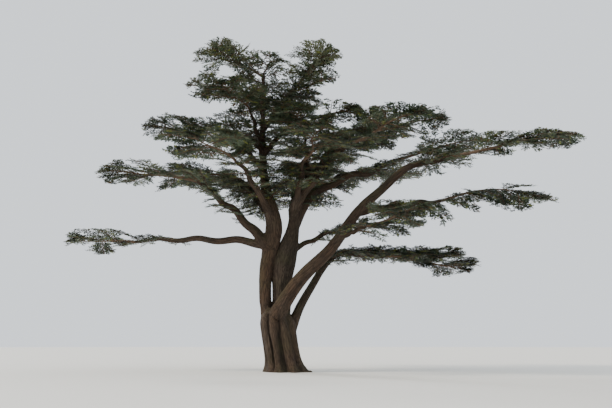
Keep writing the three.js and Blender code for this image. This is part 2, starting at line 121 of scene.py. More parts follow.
# A bough leaves the bole at a point, a leader at a height, and another bough at a share of its length.
boughs = [
    {"name": "right_main", "habit": "limb", "on": "bole", "at": (-0.48, -0.56, 3.0), "heading": -12,
     "turn": 4, "reach": 10.1, "rise": 8.8, "snap": 1.8, "dip": 0.5, "dipAt": 0.37, "girth": 0.38,
     "tip": 0.125, "leafyFrom": 0.78, "shootGap": 0.12, "length": 6.9, "width": 3.8, "depth": 1.1,
     "lift": 0.9, "extraSets": 6},
    {"name": "right_low", "habit": "limb", "on": "bole", "at": (0.2, 0.3, 2.0), "heading": 18, "reach": 7.6,
     "rise": 5.1, "snap": 6, "sag": 0.45, "dip": 0.7, "dipAt": 0.15, "girth": 0.25, "leafyFrom": 0.3,
     "shootGap": 0.1, "length": 4.3, "width": 4.6, "depth": 1.5, "lift": -0.6, "extraSets": 6},
    {"name": "right_level", "habit": "bough", "on": "right_main", "at": 0.48, "heading": 2, "reach": 4.7,
     "rise": 0.6, "snap": 1.2, "leafyFrom": 0.2, "shootHang": 0.35, "length": 6.3, "width": 4.2,
     "depth": 1.4, "lift": 0.2, "bow": 2.0, "hang": 0.35},
    {"name": "right_upper", "habit": "limb", "on": "leader_right", "at": 7.4, "heading": 12, "turn": -2,
     "reach": 6.8, "rise": 3.2, "snap": 8, "sag": -2.0, "girth": 0.27, "leafyFrom": 0.58,
     "length": 5.6, "lift": 1.3},
    {"name": "right_under", "habit": "upper", "on": "leader_right", "at": 6.65, "heading": 26, "reach": 4.5,
     "rise": 2.1, "leafyFrom": 0.35, "length": 4.8, "width": 4.0, "depth": 1.5, "lift": 0.2},
    {"name": "right_inner", "habit": "upper", "on": "right_main", "at": 0.36, "heading": -50, "reach": 2.6,
     "rise": 0.4},
    {"name": "low_inner", "habit": "upper", "on": "right_low", "at": 0.5, "heading": -16, "reach": 2.3,
     "rise": -0.3, "length": 4.4, "width": 3.6, "depth": 1.1, "lift": 0, "extraSets": 6},
    {"name": "left_low", "habit": "bough", "on": "trunk", "at": 7.15, "heading": 176, "turn": 2,
     "reach": 8.1, "rise": 0.8, "snap": 2, "sag": 0.5, "girth": 0.24, "tip": 0.08, "leafyFrom": 0.66,
     "length": 4.3, "lift": 0.1},
    {"name": "left_mid", "habit": "limb", "on": "trunk", "at": 7.0, "heading": 188, "reach": 4.3,
     "rise": 3.9, "snap": 1.15, "leafyFrom": 0.34, "shootHang": -0.15},
    {"name": "left_high", "habit": "bough", "on": "trunk", "at": 8.7, "heading": 160, "reach": 2.7,
     "rise": 2.8, "snap": 1.1, "leafyFrom": 0.1, "shootGap": 0.15, "shootHang": 0.2},
    {"name": "front_left", "habit": "bough", "on": "trunk", "at": 8.3, "heading": 246, "reach": 4.2,
     "rise": 2.9},
    {"name": "front", "habit": "bough", "on": "leader_right", "at": 8.9, "heading": -76, "reach": 3.5,
     "rise": 2.6},
    {"name": "front_right", "habit": "limb", "on": "leader_right", "at": 9.2, "heading": -50, "reach": 5.2,
     "rise": 3.0, "girth": 0.25, "leafyFrom": 0.4},
    {"name": "back_left", "habit": "bough", "on": "trunk", "at": 9.2, "heading": 128, "reach": 5.6,
     "rise": 3.0, "leafyFrom": 0.14, "shootHang": 0.25},
    {"name": "back", "habit": "bough", "on": "leader_right", "at": 10.1, "heading": 88, "reach": 5.2,
     "rise": 3.2, "leafyFrom": 0.14, "shootHang": 0.3},
    {"name": "back_right", "habit": "bough", "on": "leader_right", "at": 9.5, "heading": 46, "reach": 6.0,
     "rise": 3.0, "leafyFrom": 0.14, "shootGap": 0.18, "shootHang": 0.3},
    {"name": "upper_left", "habit": "upper", "on": "trunk", "at": 11.6, "heading": 184, "reach": 2.4,
     "rise": 2.3, "length": 5.0},
    {"name": "upper_front_left", "habit": "upper", "on": "trunk", "at": 12.7, "heading": 256, "reach": 2.2,
     "rise": 1.8},
    {"name": "upper_back_left", "habit": "upper", "on": "trunk", "at": 12.4, "heading": 116, "reach": 2.6,
     "rise": 2.1},
    {"name": "upper_between", "habit": "upper", "on": "trunk", "at": 12.6, "heading": -22, "reach": 1.8,
     "rise": 1.6, "snap": 1.1},
    {"name": "upper_right", "habit": "upper", "on": "leader_right", "at": 11.6, "heading": 4, "reach": 3.6,
     "rise": 2.5, "girth": 0.18, "depth": 2.0, "lift": 0.8},
    {"name": "upper_front_right", "habit": "upper", "on": "leader_right", "at": 11.0, "heading": -92,
     "reach": 2.6, "rise": 2.0},
    {"name": "upper_back_right", "habit": "upper", "on": "leader_right", "at": 12.3, "heading": 58,
     "reach": 2.9, "rise": 2.1},
    {"name": "crest_left", "habit": "crest", "on": "trunk", "at": 15.2, "heading": 180, "reach": 1.4,
     "rise": 1.5},
    {"name": "crest_front", "habit": "crest", "on": "trunk", "at": 16.1, "heading": -80, "reach": 1.1,
     "rise": 1.3, "girth": 0.095, "tip": 0.05, "length": 2.7, "width": 3.3, "lift": 0.1},
    {"name": "crest_back", "habit": "crest", "on": "trunk", "at": 15.3, "heading": 76, "reach": 1.3,
     "rise": 1.3},
    {"name": "crest_right", "habit": "crest", "on": "trunk", "at": 14.1, "heading": 5, "reach": 2.4,
     "rise": 3.2, "snap": 1.1, "girth": 0.15, "tip": 0.075, "round": True, "length": 1.3, "width": 3.9,
     "depth": 2.5, "lift": 1.45},
    {"name": "shoulder_right", "habit": "crest", "on": "crest_right", "at": 0.5, "heading": -30,
     "reach": 0.9, "rise": 0.6, "girth": 0.09, "tip": 0.05, "length": 2.7, "width": 2.9},
]
boughs = [{**shared, **habits[bough["habit"]], **bough} for bough in boughs]

# The plates that finish the leaders.
crowns = [
    {"name": "top_left", "on": "trunk", "heading": 185, "round": True, "length": 4.1, "width": 4.4,
     "depth": 2.5, "lift": 1.4, "extraSets": 3},
    {"name": "top_right", "on": "leader_right", "heading": 22, "length": 4.0, "width": 4.5, "depth": 1.7,
     "lift": 0.5},
]
crowns = [{**shared, **crown} for crown in crowns]


def unit(v):
    return v / np.linalg.norm(v, axis=-1, keepdims=True)


def hump(distance, spread):
    # A bell curve: 1 where the distance is 0, and fading over the spread.
    return np.exp(-(distance / spread) ** 2)


def chance(seed, k):
    # A number from 0 to 1 that depends only on a seed and a place in its order: the last digits of a sine.
    s = np.sin(seed * 127.1 + k * 311.7) * 43758.5453
    return s - np.floor(s)


def jitter(seed, k, size):
    # Up to size to either side of 0.
    return (2 * chance(seed, k) - 1) * size


def inPlan(heading):
    # The level direction of a heading: (cos, sin, 0).
    angle = np.radians(np.asarray(heading, float))
    return np.stack([np.cos(angle), np.sin(angle), 0 * angle], axis=-1)


def degreesApart(angle, heading):
    # The short way round from an angle to a heading.
    return np.abs((angle - heading + 180) % 360 - 180)


def columnRadius(z):
    # A round column, drawn in over its shoulder like the top of an egg.
    past = np.clip((z - bole["shoulder"]) / (bole["top"] - bole["shoulder"]), 0, 1)
    return bole["radius"] * np.sqrt(1 - (1 - bole["tipRadius"] ** 2) * past * past)


def creaseAt(angle, z):
    # How deep the folds cut in, as a share of the radius: each swings a few degrees with height and fades
    # out towards the ground.
    total = 0
    for k, (heading, depth, spread) in enumerate(bole["creases"]):
        for swing, rate, shift in bole["creaseWaves"]:
            heading = heading + swing * np.sin(rate * z + shift * k)
        fold = hump(degreesApart(angle, heading), spread)
        total = total + depth * fold * np.clip(bole["creaseFade"] + z, 0, 1)
    return total


def boleRadius(angle, z):
    # The column times a dip at each groove, plus a toe at each root that fades with height, less the folds.
    r = columnRadius(z)
    for heading, depth, spread in bole["grooves"]:
        r = r * (1 - depth * hump(degreesApart(angle, heading), spread))
    for heading, reach, spread in bole["roots"]:
        toe = hump(degreesApart(angle, heading), spread)
        r = r + reach * toe * np.exp(-np.maximum(z, 0) / bole["flareHeight"])
    return r * (1 - creaseAt(angle, z))


def strayed(t, size, seed):
    # Two sine waves along a limb, across it and up, that fade out at both of its ends.
    fade = np.clip(4 * t * (1 - t), 0, 1) ** straying["fadePower"]
    slow, slowStart, quick, quickStart = 2 * np.pi * np.array([
        straying["slow"][0] + straying["slow"][1] * chance(seed, 1), chance(seed, 2),
        straying["quick"][0] + straying["quick"][1] * chance(seed, 3), chance(seed, 4)])
    sideways = np.sin(slow * t + slowStart) + straying["quickSize"] * np.sin(quick * t + quickStart)
    upwards = np.sin(quick * t + slowStart) + straying["quickSize"] * np.sin(slow * t + quickStart)
    return size * fade * sideways, size * fade * upwards


def heightOf(leader, t):
    # The height at a share of a leader, and next the share at a height.
    return leader["start"] + (leader["end"] - leader["start"]) * t


def shareOf(leader, z):
    return (z - leader["start"]) / (leader["end"] - leader["start"])


def leaderPoint(leader, t):
    # A leader's line at the share t of its height: upright at x, with its toe, lean and knee added.
    t = np.asarray(t, float)
    z = heightOf(leader, t)
    aboveFork = np.clip((z - bole["top"]) / (leader["end"] - bole["top"]), 0, None)
    atFoot = np.clip(1 - (z - leader["start"]) / leader["toeHeight"], 0, None)
    x = leader["x"] + leader["toe"] * atFoot + leader["lean"] * aboveFork ** leader["leanPower"]
    x = x + leader["knee"] * hump(z - leader["kneeHeight"], leader["kneeSpan"])
    return np.stack([x, leader["y"] + leader["leanY"] * t, z], axis=-1)


def footOf(bough):
    # Where a bough starts, on the centreline of what carries it.
    if bough["on"] == "bole":
        return np.array(bough["at"])
    if bough["on"] in leaders:
        leader = leaders[bough["on"]]
        return leaderPoint(leader, shareOf(leader, bough["at"]))
    return boughPoint(next(other for other in boughs if other["name"] == bough["on"]), bough["at"])


def boughPoint(bough, t):
    # A bough's line at the share t: out along its turning heading, and up by a rise that is soonest near the
    # foot, less its sag and the drop at its elbow.
    t = np.asarray(t, float)
    level = inPlan(bough["heading"] + bough["turn"] * t) * (bough["reach"] * t)[..., None]
    drop = bough["sag"] * t ** 1.5 + bough["dip"] * hump(t - bough["dipAt"], elbowSpan)
    climb = bough["rise"] * (1 - (1 - t) ** bough["snap"]) - drop
    return footOf(bough) + level + up * climb[..., None]


def leaderLimb(name, seed):
    # A leader as its curve and radius along the share t, with the direction across it.
    leader = leaders[name]

    def curve(t):
        x, y = strayed(t, leader["wander"], seed)
        return leaderPoint(leader, t) + np.stack([x, y, 0 * x], axis=-1)

    def radius(t):
        swelling = leader["swell"] * hump(heightOf(leader, t) - leader["swellHeight"], leader["swellSpan"])
        return leader["tip"] + (leader["girth"] - leader["tip"]) * (1 - t) ** leader["taper"] + swelling

    return {"name": name, "curve": curve, "radius": radius, "side": np.array([1.0, 0, 0]), **leaderTube}


def boughLimb(bough, seed):
    # A bough the same way. Its radius falls from girth to tip, and a collar widens its foot.
    left = inPlan(bough["heading"] + bough["turn"] + 90)

    def curve(t):
        sideways, upwards = strayed(t, straying["boughShare"] * bough["girth"], seed)
        return boughPoint(bough, t) + left * sideways[..., None] + up * upwards[..., None]

    def radius(t):
        collar = np.exp(-t * bough["reach"] / (boughTaper["collarLength"] * bough["girth"]))
        body = bough["tip"] + (bough["girth"] - bough["tip"]) * (1 - t) ** boughTaper["power"]
        return body + boughTaper["collar"] * bough["girth"] * collar

    return {"name": "bough_" + bough["name"], "curve": curve, "radius": radius, "side": left, **boughTube}


limbs = [leaderLimb(name, limbSeeds[name]) for name in leaders]
limbs += [boughLimb(bough, limbSeeds["firstBough"] + i) for i, bough in enumerate(boughs)]


def runOf(limb, t0, t1):
    # The length of a limb's curve between two shares, by 29 straight steps.
    return np.linalg.norm(np.diff(limb["curve"](np.linspace(t0, t1, 30)), axis=0), axis=1).sum()


# Meshes from arrays

def skinOf(rings):
    # Closed skin over rings of equal size, (rings, sides, 3), facing outwards, with a pole at each end.
    count, sides = rings.shape[:2]
    a = (np.arange(count - 1)[:, None] * sides + np.arange(sides)).ravel()
    b = (np.arange(count - 1)[:, None] * sides + (np.arange(sides) + 1) % sides).ravel()
    around = np.arange(sides)
    onward = (around + 1) % sides
    last = (count - 1) * sides
    poles = count * sides
    triangles = np.concatenate([
        np.stack([a, b, b + sides], axis=1),
        np.stack([a, b + sides, a + sides], axis=1),
        np.stack([np.full(sides, poles), onward, around], axis=1),
        np.stack([np.full(sides, poles + 1), last + around, last + onward], axis=1),
    ])
    ends = np.stack([rings[0].mean(axis=0), rings[-1].mean(axis=0)])
    return np.concatenate([rings.reshape(-1, 3), ends]), triangles


def pathFrames(points, side):
    # At each point of a path: the direction ahead, the level direction across, and the one square to both.
    ahead = unit(np.gradient(points, axis=0))
    level = unit(side - ahead * (ahead @ side)[:, None])
    return ahead, level, np.cross(ahead, level)


def tubeRings(points, radii, side, sides):
    # A circle round each point of a path, square to the path.
    _, level, above = pathFrames(points, side)
    angle = 2 * np.pi * np.arange(sides) / sides
    circle = np.cos(angle)[None, :, None] * level[:, None] + np.sin(angle)[None, :, None] * above[:, None]
    return points[:, None] + np.asarray(radii)[:, None, None] * circle


def joined(parts):
    # Several (vertices, triangles) as one.
    offsets = np.cumsum([0] + [len(vertices) for vertices, _ in parts])
    triangles = [faces + offset for (_, faces), offset in zip(parts, offsets)]
    return np.concatenate([vertices for vertices, _ in parts]), np.concatenate(triangles)


def addObject(name, data):
    # A mesh, lamp or lens as an object in the scene.
    thing = bpy.data.objects.new(name, data)
    bpy.context.scene.collection.objects.link(thing)
    return thing


def addPiece(name, vertices, triangles, materials, smooth=True, materialOf=None):
    # A mesh from rows of points and rows of three corners, with a material for each triangle if given.
    mesh = bpy.data.meshes.new(name)
    mesh.vertices.add(len(vertices))
    mesh.vertices.foreach_set("co", np.ascontiguousarray(vertices, np.float32).ravel())
    mesh.loops.add(3 * len(triangles))
    mesh.loops.foreach_set("vertex_index", np.ascontiguousarray(triangles, np.int32).ravel())
    mesh.polygons.add(len(triangles))
    mesh.polygons.foreach_set("loop_start", np.arange(0, 3 * len(triangles), 3, dtype=np.int32))
    for material in materials:
        mesh.materials.append(material)
    if materialOf is not None:
        mesh.polygons.foreach_set("material_index", np.ascontiguousarray(materialOf, np.int32))
    mesh.update(calc_edges=True)
    if smooth:
        mesh.shade_smooth()
    return addObject(name, mesh)


def latticeNoise(points, seed):
    # Smooth noise from -1 to 1: a number at every whole-number corner, mixed from its place by large primes,
    # and eased between the eight corners round each point.
    cell = np.floor(points).astype(np.int64)
    part = points - cell
    ease = part * part * part * (part * (6 * part - 15) + 10)
    total = np.zeros(len(points))
    for corner in range(8):
        bits = np.array([corner & 1, corner >> 1 & 1, corner >> 2 & 1])
        key = ((cell + bits) * np.array([73856093, 19349663, 83492791])).sum(axis=1) + seed * 7919
        key = (key ^ (key >> 13)) & 0x7fffffff
        key = (key * 1103515245 + 12345) & 0x7fffffff
        key = key ^ (key >> 15)
        weight = np.where(bits, ease, 1 - ease).prod(axis=1)
        total += weight * ((key & 0xffff) / 32768.0 - 1)
    return total


# Materials

def linear(colour):
    # An sRGB hex colour as linear red, green, blue and alpha.
    channels = np.array([int(colour[i:i + 2], 16) for i in (1, 3, 5)]) / 255
    lin = np.where(channels <= 0.04045, channels / 12.92, ((channels + 0.055) / 1.055) ** 2.4)
    return (*lin.tolist(), 1.0)


def newMaterial(name, specular):
    # A material with the index of refraction of wax, bark and paint.
    material = bpy.data.materials.new(name)
    material.use_nodes = True
    shader = material.node_tree.nodes["Principled BSDF"]
    shader.inputs["IOR"].default_value = 1.45
    shader.inputs["Specular IOR Level"].default_value = specular
    return material, material.node_tree, shader


def addNode(tree, kind, settings=None, inputs=None, links=None):
    # One node: settings are its own properties, inputs are socket values, links are socket: output.
    node = tree.nodes.new(kind)
    for key, value in (settings or {}).items():
        setattr(node, key, value)
    for key, value in (inputs or {}).items():
        node.inputs[key].default_value = value
    for key, output in (links or {}).items():
        tree.links.new(output, node.inputs[key])
    return node


# Cedar bark on old wood: grey brown, cracked lengthwise into narrow scaly ridges, dull, with a green film of
# algae where it faces up. It is redder on some limbs and greyer on others. A ridge's plates are about 75 mm
# wide and 750 mm long, with cracks of crackShare of that between them, and worn patches are about 1.1 m
# across. The scales on a plate are drawn coarser than real ones, which are too fine to show.
# The crack colour also serves as painted shade, laid over the hollows of the relief and the folds of the
# bole.
barkLook = {
    "ridge": "#4c4238", "plain": "#3d342b", "crack": "#221c17", "worn": "#5f5347", "algae": "#3d4024",
    "red": "#503d2f", "plateWidth": 0.075, "plateLength": 0.75, "bend": 1.6, "bendsPerPlate": 0.7,
    "crackShare": 0.2, "crackTone": 0.3, "scalesPerPlate": 2.6, "wornPatch": 1.1, "wornFrom": 0.48,
    "wornFully": 0.75, "wornMost": 0.7, "dullest": 0.97, "glossiest": 0.84, "specular": 0.3,
    "scaleHeight": 0.35, "bumpStrength": 0.9, "bump": 0.018,
}


def barkMaterial():
    # Plates are the cells of a pattern stretched along the wood and bent by noise, dark at their edges. Fine
    # noise gives scales, coarse noise worn patches, and the mesh's own values painted shade in its hollows,
    # redness and algae.
    material, tree, shader = newMaterial("fissured cedar bark", barkLook["specular"])
    read = {name: addNode(tree, "ShaderNodeAttribute", {"attribute_name": name})
            for name in ("grain", "paintedHollowShade", "warm", "algae")}
    width, length = barkLook["plateWidth"], barkLook["plateLength"]
    mapped = addNode(tree, "ShaderNodeMapping", inputs={"Scale": (1 / width, 1 / width, 1 / length)},
                     links={"Vector": read["grain"].outputs["Vector"]})
    warp = addNode(tree, "ShaderNodeTexNoise", inputs={"Scale": barkLook["bendsPerPlate"], "Detail": 2.0},
                   links={"Vector": mapped.outputs["Vector"]})
    shifted = addNode(tree, "ShaderNodeVectorMath", {"operation": "MULTIPLY_ADD"},
                      {1: (barkLook["bend"],) * 3}, {0: warp.outputs["Color"], 2: mapped.outputs["Vector"]})
    plates = addNode(tree, "ShaderNodeTexVoronoi", {"feature": "DISTANCE_TO_EDGE"}, {"Scale": 1.0},
                     {"Vector": shifted.outputs["Vector"]})
    ridge = addNode(tree, "ShaderNodeMapRange", {"interpolation_type": "SMOOTHSTEP"},
                    {"From Min": 0.0, "From Max": barkLook["crackShare"], "To Min": barkLook["crackTone"]},
                    {"Value": plates.outputs["Distance"]})
    scales = addNode(tree, "ShaderNodeTexNoise",
                     inputs={"Scale": barkLook["scalesPerPlate"], "Detail": 5.0, "Roughness": 0.6},
                     links={"Vector": mapped.outputs["Vector"]})
    place = addNode(tree, "ShaderNodeTexCoord")
    patches = addNode(tree, "ShaderNodeTexNoise", inputs={"Scale": 1 / barkLook["wornPatch"], "Detail": 3.0},
                      links={"Vector": place.outputs["Object"]})
    wornShare = addNode(tree, "ShaderNodeMapRange",
                        inputs={"From Min": barkLook["wornFrom"], "From Max": barkLook["wornFully"],
                                "To Max": barkLook["wornMost"]},
                        links={"Value": patches.outputs["Fac"]})
    algaeShare = addNode(tree, "ShaderNodeMath", {"operation": "MULTIPLY"},
                         links={0: read["algae"].outputs["Fac"], 1: ridge.outputs["Result"]})
    tone = addNode(tree, "ShaderNodeMix", {"data_type": "RGBA"},
                   {"A": linear(barkLook["plain"]), "B": linear(barkLook["ridge"])},
                   {"Factor": scales.outputs["Fac"]})
    # Each is laid over what is under it by a share. In the cracks it is the ridge that gives way.
    for share, colour, under, over in (
        (wornShare.outputs["Result"], "worn", "A", "B"),
        (read["warm"].outputs["Fac"], "red", "A", "B"),
        (ridge.outputs["Result"], "crack", "B", "A"),
        # The crack colour again, as painted shade in the mesh's hollows: deep cracks, flute troughs and
        # folds.
        (read["paintedHollowShade"].outputs["Fac"], "crack", "A", "B"),
        (algaeShare.outputs["Value"], "algae", "A", "B"),
    ):
        tone = addNode(tree, "ShaderNodeMix", {"data_type": "RGBA"}, {over: linear(barkLook[colour])},
                       {"Factor": share, under: tone.outputs["Result"]})
    rough = addNode(tree, "ShaderNodeMapRange",
                    inputs={"To Min": barkLook["dullest"], "To Max": barkLook["glossiest"]},
                    links={"Value": scales.outputs["Fac"]})
    height = addNode(tree, "ShaderNodeMath", {"operation": "MULTIPLY_ADD"}, {1: barkLook["scaleHeight"]},
                     {0: scales.outputs["Fac"], 2: ridge.outputs["Result"]})
    bump = addNode(tree, "ShaderNodeBump",
                   inputs={"Strength": barkLook["bumpStrength"], "Distance": barkLook["bump"]},
                   links={"Height": height.outputs["Value"]})
    tree.links.new(tone.outputs["Result"], shader.inputs["Base Color"])
    tree.links.new(rough.outputs["Result"], shader.inputs["Roughness"])
    tree.links.new(bump.outputs["Normal"], shader.inputs["Normal"])
    return material


def plainMaterial(name, colour, roughness, specular):
    # One even colour and finish, with no pattern.
    material, _, shader = newMaterial(name, specular)
    shader.inputs["Base Color"].default_value = linear(colour)
    shader.inputs["Roughness"].default_value = roughness
    material.diffuse_color = linear(colour)
    return material


# Bark of the bole, leaders and boughs

# The lower piece holds the bole and what leaves it up to leaderTo or boughTo, on a fine voxel, and the two
# upper ones hold the rest, on each leader's side. The pieces overlap inside the wood by lap. A point lower
# than nearGround counts as on the ground.
barkPieces = {
    "lower": {"voxel": 0.031, "leaderTo": 6.6, "boughTo": {"bough_right_main": 0.3, "bough_right_low": 0.36}},
    "left": {"voxel": 0.04},
    "right": {"voxel": 0.043},
    "lap": 0.3, "nearGround": 1e-4, "cutTolerance": 1e-5,
}

# The fused skin is softened a little everywhere and most at the forks, which reach reachShare of the radius
# and reachMore beyond the meeting of two limbs.
softening = {"rounds": 14, "everywhere": 0.1, "atForks": 0.5, "reachShare": 0.35, "reachMore": 0.02}

# How deep the relief is cut, and the size of its cells across and along the wood. It is at its full depth
# where the radius is fullAt, and at forks only at forkShare of it.
relief = {
    "flutes": {"depth": 0.075, "across": 0.3, "along": 5.0},
    "cracks": {"depth": 0.026, "across": 0.12, "along": 1.8, "edge": 0.18},
    "scales": {"depth": 0.005, "across": 0.06, "along": 0.3},
    "fullAt": 0.5, "leastShare": 0.2, "forkShare": 0.35, "forkReach": 0.3,
}

# How red the bark of a limb is: by name, or else (least, more by chance). At a fork it is blended with the
# other limb's.
barkWarmth = {"bole": 0.45, "trunk": 0.9, "leader_right": 0.1, "bough_right_main": 0.65,
              "bough_right_low": 0.2}
otherWarmth = (0.15, 0.4)
warmthBlend = {"share": 0.5, "reach": 0.3}

# What the values on the mesh that the bark material reads are made up of: painted shade in the hollows,
# redness and algae. Each patch is a size in metres.
barkValues = {
    "paintedHollowShade": {"crack": 0.3, "flute": 0.45, "fold": 7, "most": 0.85},
    "warm": {"mottle": 0.3, "patch": (0.5, 0.5, 1.6), "seed": 11},
    "algae": {"facingUp": 0.75, "mottle": 0.5, "patch": 0.7, "base": 0.1, "most": 0.6, "seed": 9},
}

# How closely the middles of limbs are sampled, how far apart their grains start, and how many points are
# measured from them at once.
sampling = {"boleGap": 0.08, "perLimb": 60, "grainShift": 7.3, "block": 8000}


def limbRings(limb, t0, t1):
    # Circles of the limb's radius along its curve, from the share t0 to t1.
    t = np.linspace(t0, t1, max(leastRings, int(runOf(limb, t0, t1) / limb["ringGap"])))
    return tubeRings(limb["curve"](t), limb["radius"](t), limb["side"], limb["sides"])


def boleRings():
    # Level rings of the bole's radius at each angle, closer together near the ground.
    share = np.linspace(0, 1, bole["rings"])
    plain, squared = bole["ringShares"]
    z = -bole["below"] + (bole["top"] + bole["below"]) * (plain * share + squared * share ** 2)
    angle = 2 * np.pi * np.arange(bole["sides"]) / bole["sides"]
    r = boleRadius(np.degrees(angle)[None, :], z[:, None])
    x = bole["lean"] * z[:, None] + r * np.cos(angle)
    return np.stack([x, r * np.sin(angle), np.broadcast_to(z[:, None], r.shape)], axis=-1)


def limbSamples():
    # Points along the middle of the bole and every limb, with the frame, length and radius there.
    z = np.arange(0.0, bole["top"], sampling["boleGap"])
    samples = [{"points": np.stack([bole["lean"] * z, 0 * z, z], axis=1), "side": np.array([1.0, 0, 0]),
                "radii": columnRadius(z), "warm": barkWarmth["bole"]}]
    least, more = otherWarmth
    for i, limb in enumerate(limbs):
        t = np.linspace(0, 1, sampling["perLimb"])
        samples.append({"points": limb["curve"](t), "side": limb["side"], "radii": limb["radius"](t),
                        "warm": barkWarmth.get(limb["name"], least + more * chance(i, 7))})
    for sample in samples:
        sample["ahead"], sample["level"], sample["above"] = pathFrames(sample["points"], sample["side"])
        steps = np.linalg.norm(np.diff(sample["points"], axis=0), axis=1)
        sample["along"] = np.concatenate([[0], np.cumsum(steps)])
    return samples


samples = limbSamples()


def limbDistances(points):
    # For each point and limb: how far the point is outside the limb's bark, and the sample it is nearest to.
    distances = np.empty((len(points), len(samples)))
    nearest = np.empty((len(points), len(samples)), int)
    for start in range(0, len(points), sampling["block"]):
        rows = slice(start, start + sampling["block"])
        part = points[rows]
        square = (part ** 2).sum(axis=1)[:, None]
        for i, sample in enumerate(samples):
            centres = sample["points"]
            apart = square + (centres ** 2).sum(axis=1) - 2 * part @ centres.T
            outside = np.sqrt(np.maximum(apart, 0)) - sample["radii"]
            best = outside.argmin(axis=1)
            nearest[rows, i] = best
            distances[rows, i] = outside[np.arange(len(part)), best]
    return distances, nearest


def limbPlaces(points):
    # The place of each point on its nearest limb, as (across, up, along), with that limb's radius there, the
    # gap to the next nearest limb's bark, and how red the bark is.
    distances, nearest = limbDistances(points)
    order = np.argsort(distances, axis=1)[:, :2]
    rows = np.arange(len(points))
    gap = distances[rows, order[:, 1]] - distances[rows, order[:, 0]]
    places, radii = np.empty((len(points), 3)), np.empty(len(points))
    for i, sample in enumerate(samples):
        mine = order[:, 0] == i
        at = nearest[mine, i]
        offset = points[mine] - sample["points"][at]
        along = sample["along"][at] + (offset * sample["ahead"][at]).sum(axis=1)
        places[mine, 0] = (offset * sample["level"][at]).sum(axis=1)
        places[mine, 1] = (offset * sample["above"][at]).sum(axis=1)
        places[mine, 2] = along + sampling["grainShift"] * i
        radii[mine] = sample["radii"][at]
    redness = np.array([sample["warm"] for sample in samples])[order]
    blend = warmthBlend["share"] * (redness[:, 1] - redness[:, 0]) * hump(gap, warmthBlend["reach"])
    return places, radii, gap, redness[:, 0] + blend


def softened(points, edges, amount, rounds):
    # Moves each point towards the mean of its neighbours, by its own amount, several times over.
    a, b = edges[:, 0], edges[:, 1]
    degree = np.bincount(np.concatenate([a, b]), minlength=len(points))[:, None]
    for _ in range(rounds):
        mean = np.stack([
            np.bincount(a, points[b, k], len(points)) + np.bincount(b, points[a, k], len(points))
            for k in range(3)], axis=1) / np.maximum(degree, 1)
        points = points + amount[:, None] * (mean - points)
    return points


def readRows(items, field, size, kind=np.float32):
    # One field of a mesh's points, edges or normals, in rows of size numbers.
    flat = np.empty(size * len(items), kind)
    items.foreach_get(field, flat)
    return flat.reshape(-1, size)


def addFusedTubes(name, parts, voxel, material):
    # Makes overlapping tubes one skin by voxels, and cuts it flat at the ground.
    piece = addPiece(name, *joined(parts), [material])
    fuse = piece.modifiers.new("fuse", "REMESH")
    fuse.mode = "VOXEL"
    fuse.voxel_size = voxel
    fused = bpy.data.meshes.new_from_object(piece.evaluated_get(bpy.context.evaluated_depsgraph_get()))
    piece.modifiers.clear()
    loose = piece.data
    piece.data = fused
    bpy.data.meshes.remove(loose)
    fused.name = name
    shell = bmesh.new()
    shell.from_mesh(fused)
    if min(vertex.co.z for vertex in shell.verts) < 0:
        everything = shell.verts[:] + shell.edges[:] + shell.faces[:]
        cut = bmesh.ops.bisect_plane(shell, geom=everything, plane_co=(0, 0, 0), plane_no=(0, 0, 1),
                                     clear_inner=True, dist=barkPieces["cutTolerance"])
        rim = [item for item in cut["geom_cut"] if isinstance(item, bmesh.types.BMEdge)]
        bmesh.ops.edgeloop_fill(shell, edges=rim)
    shell.to_mesh(fused)
    shell.free()
    return piece


